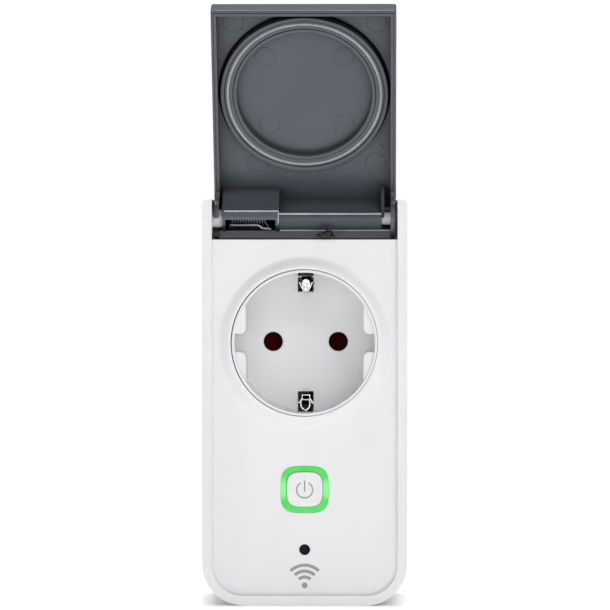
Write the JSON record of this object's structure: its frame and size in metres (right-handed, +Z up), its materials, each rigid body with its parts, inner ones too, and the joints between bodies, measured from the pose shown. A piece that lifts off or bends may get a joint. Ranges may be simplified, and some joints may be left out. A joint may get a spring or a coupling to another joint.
{
  "type": "outdoor smart plug",
  "caption": "Upright outdoor smart plug: earthed round-pin plug behind, matching socket in front under a hinged lid, and a lit square button.",
  "frame": {"origin": "centre of the face of the rear plug, between its two pins, on the axis of the front socket", "axes": "+Y points back into the wall, along the plug pins; +Z points up, towards the lid hinge; +X points right as seen from the front"},
  "size_m": [0.059, 0.0957, 0.1717],
  "materials": {
    "white_plastic": "satin",
    "button_plastic": "satin",
    "lid_plastic": "satin",
    "lid_rubber": "satin",
    "seal_rubber": "matte",
    "shutter_plastic": "satin",
    "black_plastic": "satin",
    "nickel": "polished",
    "brass": "satin",
    "steel": "satin",
    "light_guide": "glowing green, gloss",
    "circuit_board": "satin",
    "capacitor_yellow": "gloss",
    "capacitor_sleeve": "gloss",
    "varistor_blue": "satin",
    "fuse_sleeve": "satin",
    "dark_window": "gloss"
  },
  "bodies": {
    "housing": {"front_shell": "white_plastic", "rear_shell": "white_plastic", "shell_seal": "seal_rubber", "housing_screw_upper_left": "steel", "housing_screw_upper_right": "steel", "housing_screw_lower_left": "steel", "housing_screw_lower_right": "steel", "socket_insert": "white_plastic", "shutter_spring": "steel", "contact_carrier": "black_plastic", "pin_contact_left": "brass", "pin_contact_right": "brass", "earth_strap": "nickel", "plug_base": "white_plastic", "plug_pin_left": "nickel", "plug_pin_right": "nickel", "plug_earth_strip_upper": "nickel", "plug_earth_strip_lower": "nickel", "plug_earth_sleeve": "nickel", "busbar_left": "brass", "busbar_right": "brass", "light_ring": "light_guide", "button_seal": "seal_rubber", "tactile_switch": "black_plastic", "ring_led_left": "light_guide", "ring_led_right": "light_guide", "indicator_window": "dark_window", "main_board": "circuit_board", "power_relay": "black_plastic", "power_module": "black_plastic", "filter_capacitor": "capacitor_yellow", "storage_capacitor": "capacitor_sleeve", "varistor": "varistor_blue", "fuse": "fuse_sleeve", "radio_module": "steel", "hinge_pin_left": "white_plastic", "hinge_pin_right": "white_plastic"},
    "lid": {"lid_cover": "lid_plastic", "lid_seal": "lid_rubber", "hinge_spring": "steel"},
    "button": {"button_cap": "button_plastic", "switch_plunger": "black_plastic"},
    "shutter": {"safety_shutter": "shutter_plastic"}
  },
  "joints": [
    {"name": "lid_hinge", "type": "hinge", "parent": "housing", "child": "lid", "pos_m": [0, -0.053, 0.0358], "axis": [1, 0, 0], "range_deg": [0, 153]},
    {"name": "button_press", "type": "slide", "parent": "housing", "child": "button", "axis": [0, 1, 0], "range_m": [0, 0.0005], "stiffness_N_per_m": 1500, "springref_m": -0.0002},
    {"name": "shutter_turn", "type": "hinge", "parent": "housing", "child": "shutter", "pos_m": [0, -0.0385, 0], "axis": [0, 1, 0], "range_deg": [0, 36], "stiffness_Nm_per_rad": 0.002, "springref_deg": -17.19}
  ]
}
